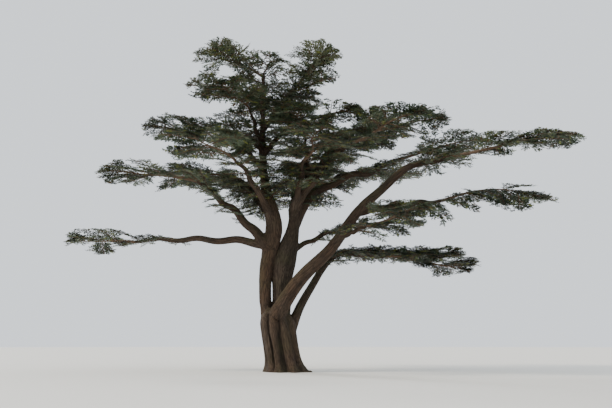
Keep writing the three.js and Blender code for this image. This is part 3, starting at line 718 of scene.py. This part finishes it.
def addBark(name, parts, voxel, material):
    # Fuses tubes, rounds their forks, then pushes every point along its normal by the bark's relief: long
    # flutes, cracks with sharp edges, and small scales. The mesh also gets the values that its material
    # reads.
    piece = addFusedTubes(name, parts, voxel, material)
    mesh = piece.data
    points = readRows(mesh.vertices, "co", 3).astype(float)
    edges = readRows(mesh.edges, "vertices", 2, np.int32)
    onGround = points[:, 2] < barkPieces["nearGround"]
    _, radii, gap, _ = limbPlaces(points)
    atFork = hump(gap, softening["reachShare"] * radii + softening["reachMore"])
    amount = np.where(onGround, 0, softening["everywhere"] + softening["atForks"] * atFork)
    points = softened(points, edges, amount, softening["rounds"])
    points[onGround, 2] = 0
    mesh.vertices.foreach_set("co", points.astype(np.float32).ravel())
    mesh.update()

    normals = readRows(mesh.vertex_normals, "vector", 3)
    places, radii, gap, warm = limbPlaces(points)
    share = np.clip(radii / relief["fullAt"], relief["leastShare"], 1)
    awayFromFork = 1 - hump(gap, relief["forkReach"] * radii)
    cuts = {}
    for seed, kind in enumerate(("flutes", "cracks", "scales")):
        cell = np.array([relief[kind]["across"]] * 2 + [relief[kind]["along"]])
        cuts[kind] = latticeNoise(places / cell, seed + 1)
    crack = hump(cuts["cracks"], relief["cracks"]["edge"])
    push = relief["flutes"]["depth"] * cuts["flutes"] - relief["cracks"]["depth"] * crack
    push = push * (relief["forkShare"] + (1 - relief["forkShare"]) * awayFromFork)
    push = share * (push + relief["scales"]["depth"] * cuts["scales"])
    moved = points + normals * push[:, None]
    moved[onGround, 2] = 0
    moved[:, 2] = np.maximum(moved[:, 2], 0)
    mesh.vertices.foreach_set("co", moved.astype(np.float32).ravel())

    angle = np.degrees(np.arctan2(points[:, 1], points[:, 0] - bole["lean"] * points[:, 2]))
    onBole = np.clip(bole["top"] - points[:, 2], 0, 1)
    # Painted shade: the darkening laid on with the crack colour, deepest in the cracks, in the troughs of the
    # flutes and in the folds of the bole, where shade falls.
    look = barkValues["paintedHollowShade"]
    folds = look["fold"] * creaseAt(angle, points[:, 2]) * onBole
    paintedHollowShade = np.clip(look["crack"] * crack * awayFromFork - look["flute"] * cuts["flutes"] + folds,
                     0, look["most"])
    look = barkValues["warm"]
    warm = np.clip(warm + look["mottle"] * latticeNoise(points / look["patch"], look["seed"]), 0, 1)
    look = barkValues["algae"]
    mottle = look["mottle"] * latticeNoise(points / look["patch"], look["seed"])
    algae = np.clip(look["facingUp"] * normals[:, 2] + mottle + look["base"], 0, 1) * look["most"]
    for value, values in (("paintedHollowShade", paintedHollowShade), ("warm", warm), ("algae", algae)):
        mesh.attributes.new(value, "FLOAT", "POINT").data.foreach_set("value", values.astype(np.float32))
    mesh.attributes.new("grain", "FLOAT_VECTOR", "POINT").data.foreach_set(
        "vector", places.astype(np.float32).ravel())
    mesh.shade_smooth()
    mesh.update()
    print(name, "with", sum(len(polygon.vertices) - 2 for polygon in mesh.polygons), "triangles")
    return piece


bark = barkMaterial()
sideOf = {"bole": "right", "trunk": "left", "leader_right": "right"}
for bough in boughs:
    sideOf[bough["name"]] = sideOf[bough["on"]]
lower = [skinOf(boleRings())]
upper = {"left": [], "right": []}
upperNodes = {"left": [], "right": []}
for limb in limbs:
    side = sideOf[limb["name"].removeprefix("bough_")]
    if limb["name"] in leaders:
        lowerTo = shareOf(leaders[limb["name"]], barkPieces["lower"]["leaderTo"])
    else:
        lowerTo = barkPieces["lower"]["boughTo"].get(limb["name"], 0)
        upperNodes[side].append(limb["name"])
    upperFrom = 0
    if lowerTo:
        lower.append(skinOf(limbRings(limb, 0, lowerTo)))
        upperFrom = lowerTo - barkPieces["lap"] / runOf(limb, 0, 1)
    upper[side].append(skinOf(limbRings(limb, upperFrom, 1)))
barkSolids = [addBark("bark_bole", lower, barkPieces["lower"]["voxel"], bark)]
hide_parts("trunk", "leader_right")
for side in ("left", "right"):
    piece = addBark("bark_boughs_" + side, upper[side], barkPieces[side]["voxel"], bark)
    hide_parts(*upperNodes[side])
    barkSolids.append(piece)


# Foliage

# How a plate branches. Every twig is a rib with side twigs on both sides, and each of those has sprays. The
# first set of twigs is the source's own. Twigs stand twigSpacing apart on the stem in four tiers, and a fan
# of three finishes it. The plate's space is cut back by ragged, in patches of raggedSize.
branching = {
    "twigSpacing": 0.9, "space": (0.56, 0.53, 0.62), "centre": 0.62, "ragged": 0.42, "raggedSize": 0.55,
    "raggedSeed": 31, "sway": 0.04, "stemBow": 0.3, "stemShare": 0.8, "firstTwig": 0.1, "lastTwig": 0.86,
    "wideAngle": 66, "forwardAngle": 38, "roundStep": 137.5, "roundTwigs": 1.5, "ovate": 0.72,
    "leastBulge": 0.05, "tiers": (0.05, 0.42, -0.3, 0.24), "placeJitter": 0.2, "angleJitter": 7,
    "tierJitter": 0.08, "roll": 0.3, "sprayShare": 0.5, "longest": 2.2,
    "endFrom": 0.98, "endFan": (0, 26, -26), "endReach": 0.25, "endSides": 0.8, "endFlattening": 0.3,
    "endRoll": 0.1, "endTier": 0.1,
}

# The extraSets stand between the source's twigs in the same tiers, spread wider near the plate's start. Their
# reach and length are (least, more by chance), as a share of the first set's, and the angles of each set vary
# more than those of the set before.
extraTwigs = {"first": 0.0, "last": 0.9, "wideAngle": 86, "angleJitter": 6, "roundShift": 0.37,
              "reach": (0.45, 0.6), "length": (0.7, 0.3)}

# The plate's stem, which starts tail inside the bough's tip, and the ribs, which arch up by arch and then
# bend down by droop. A rib is tried at so many points, and stops before the first one outside its space,
# apart from those nearest its foot.
stemTube = {"rings": 14, "sides": 7, "tail": 0.2, "tip": 0.016, "taper": 0.8}
ribLine = {"droop": 0.2, "beyondMiddle": 0.55, "arch": 0.06, "tries": 21, "alwaysInside": 3, "step": 0.01,
           "radius": 0.028, "tip": 0.007, "rings": 6, "sides": 4}

# Side twigs along a rib and sprays along a side twig, in metres, shares and degrees. Pairs are the least and
# most that chance gives. light is painted light: how much a spray's tier and place on the rib lighten its
# tint, as if higher and outer sprays caught more sun, and how far chance spreads that.
fan = {
    "sideGap": 0.12, "leastSides": 3, "firstSide": 0.08, "placeJitter": 0.3, "halfWidth": 0.3,
    "widest": 0.58, "ovalSpan": 0.56, "leastOval": 0.04, "lengths": (0.6, 1.12), "wideAngle": 60,
    "forwardAngle": 42, "angleJitter": 8, "sideClimb": (-0.16, 0.08), "sideRadius": 0.012, "shortest": 0.03,
    "sprayGap": 0.1, "sprayStart": (0.1, 0.7), "swing": (15, 52), "climb": (-0.16, 0.24),
    "spraySize": 0.31, "sizes": (0.75, 1.2), "outerSmaller": 0.2, "offBark": 0.03,
    "light": {"tier": 1.1, "place": 0.5, "spread": 0.5},
}

# A spray of length 1: pairs of blades from first on, with a stagger between the two of a pair. Towards the
# tip they grow shorter and lean more forward. Each one's tip is lifted by its own share of its length. The
# core is two triangles of (along, across, up).
blades = {"pairs": 5, "first": 0.03, "span": 0.72, "stagger": 0.04, "length": 0.37, "shorter": 0.13,
          "lean": 58, "straighter": 22, "base": 0.2,
          "lift": (0.4, -0.1, 0.05, 0.5, -0.2, 0.25, 0.4, 0.0, -0.1, 0.3),
          "core": [[(0, 0, 0), (1.04, 0, 0.03), (0.5, 0.1, 0.02)],
                   [(0, 0, 0), (0.45, -0.1, 0.03), (1.04, 0, 0.03)]]}


def sprayShape():
    # A shoot seen from above: a slim pointed core, with pairs of pointed blades along it, each a triangle
    # whose base lies on the core. Real needles are 2 to 3 cm long, too fine to show, so each blade stands for
    # a tuft of them.
    rows = np.arange(2 * blades["pairs"])
    side = np.where(rows % 2, -1.0, 1.0)
    pair = rows // 2
    root = blades["first"] + blades["span"] * pair / (blades["pairs"] - 1) + blades["stagger"] * (rows % 2)
    length = blades["length"] - blades["shorter"] * root
    lean = np.radians(blades["lean"] - blades["straighter"] * root)
    tip = np.stack([root + 0.5 * blades["base"] + length * np.cos(lean), side * length * np.sin(lean),
                    np.array(blades["lift"]) * length], axis=1)
    near = np.stack([root, 0 * root, 0 * root], axis=1)
    far = near + np.array([blades["base"], 0, 0])
    return np.concatenate([np.stack([near, far, tip], axis=1), np.array(blades["core"])]).reshape(-1, 3)


def plateOf(site):
    # A plate's own stem, span and space. The stem sways to the sides and rises in an arch, and the space is
    # the source's ellipsoid with a ragged rim inside it.
    ahead, left = inPlan(site["heading"]), inPlan(site["heading"] + 90)

    def stem(t):
        t = np.asarray(t, float)[..., None]
        along = ahead * site["length"] * branching["stemShare"] * t
        across = left * branching["sway"] * site["width"] * np.sin(2 * np.pi * t)
        arch = branching["stemBow"] * site["lift"] + site["bow"]
        return site["start"] + along + across + up * (site["lift"] * t + arch * t * (1 - t))

    span = site["width"] if site["round"] else site["length"]
    size = np.array(branching["space"]) * np.array([span, site["width"], site["depth"]])
    centre = stem(branching["centre"]) - up * site["hang"] * site["depth"]

    def inSpace(points):
        d = points - centre
        ragged = 0.5 + 0.5 * latticeNoise(points / branching["raggedSize"], branching["raggedSeed"])
        reached = (d @ ahead / size[0]) ** 2 + (d @ left / size[1]) ** 2 + (d[:, 2] / size[2]) ** 2
        return reached < 1 - branching["ragged"] * ragged

    return stem, span, inSpace


def ribsOf(site, stem, span):
    # Every rib of a plate as (foot, direction, reach, blade length, roll, tier). Twigs leave the stem on
    # alternate sides, more and more forward, or else all round it, and their reach follows an oval. Each has
    # ten places of its own in the seed's order of chance.
    seed, isRound = site["seed"], site["round"]
    full = min(branching["sprayShare"] * min(site["width"], span), branching["longest"])
    n = int(np.floor((branching["roundTwigs"] if isRound else 1) * span / branching["twigSpacing"] + 0.5))
    spacing = (branching["lastTwig"] - branching["firstTwig"]) / (n - 1)
    lateral = 0.5 * (site["width"] - full)
    ribs = []
    for extra in range(1 + site["extraSets"]):
        for i in range(n):
            k = 10 * i + 1000 * extra
            place = i + jitter(seed, k, branching["placeJitter"]) + extra / (1 + site["extraSets"])
            t = branching["firstTwig"] + spacing * place
            reachShare, length = 1, full
            if extra:
                t = extraTwigs["first"] + (extraTwigs["last"] - extraTwigs["first"]) * place / (n - 1)
                reachShare = extraTwigs["reach"][0] + extraTwigs["reach"][1] * chance(seed, k + 4)
                length = full * (extraTwigs["length"][0] + extraTwigs["length"][1] * chance(seed, k + 5))
            side = 1 if (i + seed + extra) % 2 else -1
            widest = (extraTwigs if extra else branching)["wideAngle"]
            angle = widest + (branching["forwardAngle"] - widest) * t
            angle += jitter(seed, k + 1, branching["angleJitter"] + extraTwigs["angleJitter"] * extra)
            allRound = branching["roundStep"] * (i + extraTwigs["roundShift"] * extra)
            bulge = np.sqrt(max(branching["leastBulge"], 1 - ((t - 0.5) / branching["ovate"]) ** 2))
            reach = bulge * lateral / (1 if isRound else np.sin(np.radians(angle)))
            tier = branching["tiers"][(i + seed + 2 * extra) % 4]
            tier = tier + jitter(seed, k + 2, branching["tierJitter"]) - site["hang"]
            heading = site["heading"] + (allRound if isRound else side * angle)
            direction = inPlan(heading) + up * tier * site["depth"] / reach
            roll = jitter(seed, k + 3, branching["roll"])
            ribs.append((stem(t), direction, reach * reachShare, length, roll, tier))
    end = unit(stem(1.0) - stem(branching["endFrom"])) * np.array([1, 1, branching["endFlattening"]])
    for turn in branching["endFan"]:
        direction = inPlan(np.degrees(np.arctan2(end[1], end[0])) + turn) + up * end[2]
        length = full * (branching["endSides"] if turn else 1)
        ribs.append((stem(1.0), direction, branching["endReach"], length, branching["endRoll"],
                     branching["endTier"]))
    return ribs


def growRib(rib, rng, allowed):
    # One rib with its side twigs and sprays. The rib runs out along its direction, then bends down a little,
    # and stops where it leaves the allowed space. A side twig's length follows an oval, widest past the
    # middle, and sprays leave it on alternate sides.
    foot, direction, reach, blade, roll, tier = rib
    middle = foot + direction * reach
    tip = middle + unit(direction - ribLine["droop"] * up) * ribLine["beyondMiddle"] * blade
    total = np.linalg.norm(middle - foot) + np.linalg.norm(tip - middle)

    def path(u):
        u = np.asarray(u, float)[..., None]
        return (1 - u) ** 2 * foot + 2 * u * (1 - u) * (middle + ribLine["arch"] * up) + u ** 2 * tip

    tries = np.linspace(0, 1, ribLine["tries"])
    outside = ~allowed(path(tries))
    outside[:ribLine["alwaysInside"]] = False
    stop = tries[np.argmax(outside) - 1] if outside.any() else 1.0
    count = max(fan["leastSides"], int(total * stop / fan["sideGap"]))
    order = np.arange(count) + 0.5 + rng.uniform(-fan["placeJitter"], fan["placeJitter"], count)
    u = stop * (fan["firstSide"] + (1 - fan["firstSide"]) * order / count)
    base = path(u)
    ahead = unit(path(u + ribLine["step"]) - path(u - ribLine["step"]))
    face = unit(up - ahead * ahead[:, 2:])
    across = np.cross(face, ahead)
    face, across = (face * np.cos(roll) + across * np.sin(roll), across * np.cos(roll) - face * np.sin(roll))
    side = np.where(np.arange(count) % 2, 1.0, -1.0)
    angle = np.radians(fan["wideAngle"] + (fan["forwardAngle"] - fan["wideAngle"]) * u
                       + rng.uniform(-fan["angleJitter"], fan["angleJitter"], count))
    oval = np.sqrt(np.clip(1 - ((u - fan["widest"]) / fan["ovalSpan"]) ** 2, fan["leastOval"], 1))
    length = fan["halfWidth"] * blade * oval / np.sin(angle) * rng.uniform(*fan["lengths"], count)
    out = ahead * np.cos(angle)[:, None] + across * (side * np.sin(angle))[:, None]
    out = unit(out + up * rng.uniform(*fan["sideClimb"], (count, 1)))

    most = int(np.ceil(length.max() / fan["sprayGap"])) + 1
    step = np.arange(most)[None, :] + rng.uniform(*fan["sprayStart"], (count, most))
    along = np.minimum(step * fan["sprayGap"], length[:, None])
    kept = step * fan["sprayGap"] < length[:, None] + 0.5 * fan["sprayGap"]
    swing = np.where((np.arange(most)[None, :] + np.arange(count)[:, None]) % 2, 1.0, -1.0)
    swing = np.radians(swing * rng.uniform(*fan["swing"], (count, most)))
    square = np.cross(face, out)
    forward = out[:, None] * np.cos(swing)[..., None] + square[:, None] * np.sin(swing)[..., None]
    forward = unit(forward + up * rng.uniform(*fan["climb"], (count, most, 1)))
    roots = base[:, None] + out[:, None] * along[..., None]
    sizes = fan["spraySize"] * rng.uniform(*fan["sizes"], (count, most))
    sizes = sizes * (1 - fan["outerSmaller"] * along / length.max())
    faces = np.broadcast_to(face[:, None], roots.shape)
    # Painted light: sprays on higher tiers and farther out along the rib get lighter tints, as if in more
    # sun.
    light = fan["light"]["tier"] * tier + fan["light"]["place"] * np.broadcast_to(u[:, None], kept.shape)
    light = light + rng.normal(0, fan["light"]["spread"], kept.shape)
    twigOf = np.broadcast_to(np.arange(count)[:, None], kept.shape)
    sprays = {"root": roots[kept], "forward": forward[kept], "face": faces[kept], "size": sizes[kept],
              "light": light[kept], "along": along[kept], "twig": twigOf[kept]}
    twigs = {"base": base, "out": out, "across": square}
    return path(np.linspace(0, stop, ribLine["rings"])), sprays, twigs


def growRibs(ribs, rng, allowed):
    # Several ribs as one set of sprays, side twigs and rib solids. A spray that leaves the allowed space or
    # comes too near a limb is left out, and a side twig runs only as far as its last spray.
    grown = [growRib(rib, rng, allowed) for rib in ribs]
    twigs = {key: np.concatenate([item[2][key] for item in grown]) for key in grown[0][2]}
    firstTwigs = np.cumsum([0] + [len(item[2]["base"]) for item in grown])
    for (_, sprays, _), first in zip(grown, firstTwigs):
        sprays["twig"] = sprays["twig"] + first
    sprays = {key: np.concatenate([item[1][key] for item in grown]) for key in grown[0][1]}
    tips = sprays["root"] + sprays["forward"] * sprays["size"][:, None]
    middles = sprays["root"] + sprays["forward"] * 0.5 * sprays["size"][:, None]
    kept = allowed(tips) & (limbDistances(middles)[0].min(axis=1) > fan["offBark"])
    sprays = {key: values[kept] for key, values in sprays.items()}
    run = np.zeros(len(twigs["base"]))
    np.maximum.at(run, sprays["twig"], sprays["along"])
    carrying = run > fan["shortest"]
    tip = twigs["base"] + twigs["out"] * run[:, None]
    twigs = {"base": twigs["base"][carrying], "tip": tip[carrying], "across": twigs["across"][carrying]}
    solids = []
    for path, _, _ in grown:
        radii = np.linspace(ribLine["radius"], ribLine["tip"], len(path))
        level = unit(np.cross(up, path[-1] - path[0]))
        solids.append(skinOf(tubeRings(path, radii, level, ribLine["sides"])))
    return sprays, twigs, solids


def growPlate(site):
    # All the sprays, side twigs and solids of one plate, with its stem as a tube that tapers from the
    # bough's tip.
    stem, span, inSpace = plateOf(site)
    rng = np.random.default_rng(site["seed"])
    sprays, twigs, solids = growRibs(ribsOf(site, stem, span), rng, inSpace)
    t = np.linspace(0, 1, stemTube["rings"])
    path = np.concatenate([[site["start"] - stemTube["tail"] * site["first"]], stem(t)])
    radii = site["tip"] + (stemTube["tip"] - site["tip"]) * t ** stemTube["taper"]
    radii = np.concatenate([[site["tip"]], radii])
    solids.append(skinOf(tubeRings(path, radii, inPlan(site["heading"] + 90), stemTube["sides"])))
    return sprays, twigs, solids


# Shoots are small ribs that leave a bough on alternate sides, or a leader all round, where it is leafy.
# Pairs are the least and most that chance gives, except growth, which is a bough's shoots' share of their
# reach at the first one and how much it gains by the tip.
shoots = {"leaderGap": 0.15, "place": (0, 0.9), "reach": (0.4, 1.4), "growth": (0.6, 0.5), "blade": 1.5,
          "angle": (45, 80), "climb": (-0.05, 0.28), "leaderReach": (0.6, 2.2), "leaderBlade": 2.0,
          "leaderTurn": (-20, 20), "blades": (0.6, 1.1), "roll": (-0.3, 0.3), "tier": (-0.2, 0.4)}


def growShoots(limb, t0, heading, gap, isRound, hang, seed):
    # Ribs along a limb from its share t0 to its tip, gap apart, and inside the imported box. Those of a bough
    # slant forward from its heading, level but for hang, and reach farther towards its tip.
    rng = np.random.default_rng(seed)
    count = max(2, int(runOf(limb, t0, 1) / gap))
    ribs = []
    for i in range(count):
        t = t0 + (1 - t0) * (i + rng.uniform(*shoots["place"])) / count
        if isRound:
            turned = branching["roundStep"] * i + rng.uniform(*shoots["leaderTurn"])
            reach = rng.uniform(*shoots["leaderReach"])
        else:
            turned = heading + (1 if i % 2 else -1) * rng.uniform(*shoots["angle"])
            least, more = shoots["growth"]
            reach = rng.uniform(*shoots["reach"]) * (least + more * (t - t0) / (1 - t0))
        direction = inPlan(turned) + up * (rng.uniform(*shoots["climb"]) - hang)
        blade = shoots["leaderBlade" if isRound else "blade"] * rng.uniform(*shoots["blades"])
        roll, tier = rng.uniform(*shoots["roll"]), rng.uniform(*shoots["tier"])
        ribs.append((limb["curve"](t), direction, reach, blade, roll, tier))
    low, high = (np.array(corner) for corner in packedBox)

    def inBox(points):
        return ((points > low) & (points < high)).all(axis=1)

    return growRibs(ribs, rng, inBox)


# The corners round a side twig's base, as (cosine, sine).
wedgeCorners = [(1, 0), (-0.5, 0.866), (-0.5, -0.866)]


def sliverTwigs(twigs):
    # Each side twig as a long closed wedge: three corners round its base and one at its tip.
    ahead = unit(twigs["tip"] - twigs["base"])
    other = np.cross(ahead, twigs["across"])
    corners = [twigs["base"] + (cosine * twigs["across"] + sine * other) * fan["sideRadius"]
               for cosine, sine in wedgeCorners]
    corners = np.stack([*corners, twigs["tip"]], axis=1)
    faces = np.array([[0, 2, 1], [0, 1, 3], [1, 2, 3], [2, 0, 3]])
    triangles = (np.arange(len(ahead))[:, None, None] * 4 + faces).reshape(-1, 3)
    return corners.reshape(-1, 3), triangles


# Living cedar needles: stiff, waxy, dull dark green with a grey bloom. Each tint is dealt out by spray. The
# first four are painted light and shade on the same needles, from the shade to the sun; the third also shows
# the grey bloom. Brown is the dead needles of old shoots and yellow green is this year's growth.
needleTints = {
    "shaded cedar needles": "#242d1f",
    "dark green cedar needles in painted half shade": "#35432f",
    "cedar needles with grey bloom in painted half light": "#515e48",
    "sunlit cedar needles": "#70735c",
    "dry cedar needles": "#63523a",
    "young cedar needles": "#747a3a",
}
needleFinish = {"roughness": 0.55, "specular": 0.4}

# bounds part the first four tints by painted light. Above paleAbove sprays grow paler with height, as painted
# sunlight on the top of the crown, and below darkBelow darker, as painted shade under the crown. The dry and
# the young tints are dealt to a share of the sprays, whatever their light.
tinting = {"bounds": (-0.3, 0.45, 1.15), "dryTint": 4, "dryShare": 0.05, "youngTint": 5, "youngShare": 0.07,
           "dealing": 977.0, "patch": (1.5, 1.5, 0.6), "patchSeed": 21, "patchWeight": 0.55,
           "paleAbove": 14.5, "paleWeight": 0.2, "darkBelow": 8.5, "darkWeight": 0.4}


def sprayMesh(sprays, shape):
    # The spray's shape laid along every spray's own frame, and the tint of every face. A spray's tint is
    # painted
    # light and shade: it follows its own painted light, the patch it stands in and its height.
    forward = sprays["forward"]
    face = unit(sprays["face"] - forward * (sprays["face"] * forward).sum(axis=1)[:, None])
    across = np.cross(face, forward)
    axes = np.stack([forward, across, face], axis=1)
    vertices = sprays["root"][:, None] + sprays["size"][:, None, None] * np.einsum("vk,nkc->nvc", shape, axes)
    patches = latticeNoise(sprays["root"] / tinting["patch"], tinting["patchSeed"])
    height = sprays["root"][:, 2]
    # Painted sunlight high in the crown, painted shade low down under it.
    sun = tinting["paleWeight"] * np.clip(height - tinting["paleAbove"], 0, None)
    sun -= tinting["darkWeight"] * np.clip(tinting["darkBelow"] - height, 0, None)
    tint = np.digitize(sprays["light"] + tinting["patchWeight"] * patches + sun, tinting["bounds"])
    deal = (sprays["root"] * tinting["dealing"] % 1.0).sum(axis=1) % 1.0
    tint = np.where(deal < tinting["dryShare"], tinting["dryTint"], tint)
    tint = np.where(deal > 1 - tinting["youngShare"], tinting["youngTint"], tint)
    triangles = np.arange(len(forward) * len(shape)).reshape(-1, 3)
    return vertices.reshape(-1, 3), triangles, np.repeat(tint, len(shape) // 3)


# A plate starts by the gap past the end of its limb's line, and heads as that line does after the share
# endFrom.
plateFoot = {"gap": 0.0004, "endFrom": 0.999}


def siteAt(entry, point, seed):
    # A plate's settings with its place at the end of a limb's line, the direction there, and its seed.
    before, end = point(np.array([plateFoot["endFrom"], 1.0]))
    first = unit(end - before)
    return {**entry, "heading": entry["heading"] + entry["turn"], "first": first,
            "start": end + plateFoot["gap"] * first, "seed": seed}


sites = [siteAt(bough, lambda t, bough=bough: boughPoint(bough, t), i + 1) for i, bough in enumerate(boughs)]
for i, crown in enumerate(crowns):
    leader = leaders[crown["on"]]
    entry = {**crown, "tip": leader["tip"]}
    sites.append(siteAt(entry, lambda t, leader=leader: leaderPoint(leader, t), len(boughs) + i + 1))

# Which plates are joined into each piece of needles.
regions = {
    "right": ["right_main", "right_level"],
    "low": ["right_low", "low_inner", "right_under", "right_inner"],
    "front": ["front_right", "front", "upper_front_right", "upper_between"],
    "left": ["left_low", "left_mid", "left_high", "front_left"],
    "back": ["back_left", "back", "back_right", "upper_back_left"],
    "upper": ["right_upper", "upper_right", "upper_back_right", "top_right"],
    "crown_left": ["upper_left", "upper_front_left", "crest_left", "crest_front", "top_left"],
    "crown_right": ["shoulder_right", "crest_back", "crest_right"],
}
tintMaterials = [plainMaterial(name, colour, **needleFinish) for name, colour in needleTints.items()]

# Smooth thin bark of the last years' twigs, brown and dull.
twigMaterial = plainMaterial("young cedar twig bark", "#5f4d3e", roughness=0.85, specular=0.3)

shape = sprayShape()
grown = {site["name"]: [growPlate(site)] for site in sites}
shootSeed = 500
for i, limb in enumerate(limbs[:len(leaders)]):
    leader = leaders[limb["name"]]
    finished = next(crown["name"] for crown in crowns if crown["on"] == limb["name"])
    leafyFrom = shareOf(leader, leader["leafyFrom"])
    grown[finished].append(growShoots(limb, leafyFrom, 0, shoots["leaderGap"], True, 0, shootSeed + i))
for i, (limb, bough) in enumerate(zip(limbs[len(leaders):], boughs), len(leaders)):
    heading = bough["heading"] + bough["turn"]
    grown[bough["name"]].append(growShoots(limb, bough["leafyFrom"], heading, bough["shootGap"], False,
                                           bough["shootHang"], shootSeed + i))
print("sprays:", sum(len(part[0]["root"]) for parts in grown.values() for part in parts))

needlePieces = []
twigSolids = []
for region, plates in regions.items():
    parts = [part for plate in plates for part in grown[plate]]
    sprays = {key: np.concatenate([part[0][key] for part in parts]) for key in parts[0][0]}
    vertices, triangles, tints = sprayMesh(sprays, shape)
    piece = addPiece("needles_" + region, vertices, triangles, tintMaterials, smooth=False, materialOf=tints)
    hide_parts(*["foliage_" + plate for plate in plates])
    needlePieces.append(piece)
    print(piece.name, "with", len(triangles), "triangles")
    for part in parts:
        twigSolids.append(sliverTwigs(part[1]))
        twigSolids += part[2]
twigVertices, twigTriangles = joined(twigSolids)
twigPiece = addPiece("twigs", twigVertices, twigTriangles, [twigMaterial])
print("twigs with", len(twigTriangles), "triangles")

for piece in (*barkSolids, twigPiece):
    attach(piece, "root")
for piece in needlePieces:
    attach(piece, "root")


# Floor, light and camera

# The key light comes from the left and the front, and the rim light from behind. The camera stands where the
# photograph was taken from.
studio = {
    "floorRadius": 260.0, "floorSides": 96, "floorDrop": 0.002, "floor": "#d9d8d3", "sky": "#eaf0f6",
    "skyStrength": 1.4,
    "keyFrom": (-0.75, -0.25, 0.62), "keyStrength": 2.6, "keyAngle": 14.0, "keyColour": "#fff1dc",
    "rimFrom": (-0.6, 0.75, 0.45), "rimStrength": 1.6, "rimAngle": 10.0, "rimColour": "#ffffff",
    "eye": (3.26, -42.3, 1.6), "target": (1.2, 0.0, 9.55), "lens": 43.5, "sensor": 36.0, "farthest": 1000.0,
}


def addFloor():
    # A flat round floor, just below the ground so that it doesn't meet the bole's cut.
    sides = studio["floorSides"]
    angle = np.linspace(0, 2 * np.pi, sides + 1)[:-1]
    rim = studio["floorRadius"] * np.stack([np.cos(angle), np.sin(angle), 0 * angle], axis=1)
    vertices = np.concatenate([rim, [[0, 0, 0]]])
    around = np.arange(sides)
    triangles = np.stack([around, (around + 1) % sides, np.full(sides, sides)], axis=1)
    paint = plainMaterial("matt painted studio floor", studio["floor"], roughness=0.9, specular=0.1)
    floor = addPiece("floor", vertices, triangles, [paint], smooth=False)
    floor.location.z = -studio["floorDrop"]


def addSun(name):
    # A distant lamp that shines from its own direction towards the tree.
    lamp = bpy.data.lights.new(name, "SUN")
    lamp.energy = studio[name + "Strength"]
    lamp.angle = np.radians(studio[name + "Angle"])
    lamp.color = linear(studio[name + "Colour"])[:3]
    addObject(name, lamp).rotation_euler = Vector(studio[name + "From"]).to_track_quat("Z", "Y").to_euler()


addFloor()
addSun("key")
addSun("rim")
world = bpy.data.worlds.new("studio")
world.use_nodes = True
world.node_tree.nodes["Background"].inputs["Color"].default_value = linear(studio["sky"])
world.node_tree.nodes["Background"].inputs["Strength"].default_value = studio["skyStrength"]
bpy.context.scene.world = world

lens = bpy.data.cameras.new("camera")
lens.lens = studio["lens"]
lens.sensor_width = studio["sensor"]
lens.clip_end = studio["farthest"]
camera = addObject("camera", lens)
camera.location = studio["eye"]
look = Vector(studio["target"]) - Vector(studio["eye"])
camera.rotation_euler = look.to_track_quat("-Z", "Y").to_euler()
bpy.context.scene.camera = camera
print("floor, light and camera set")
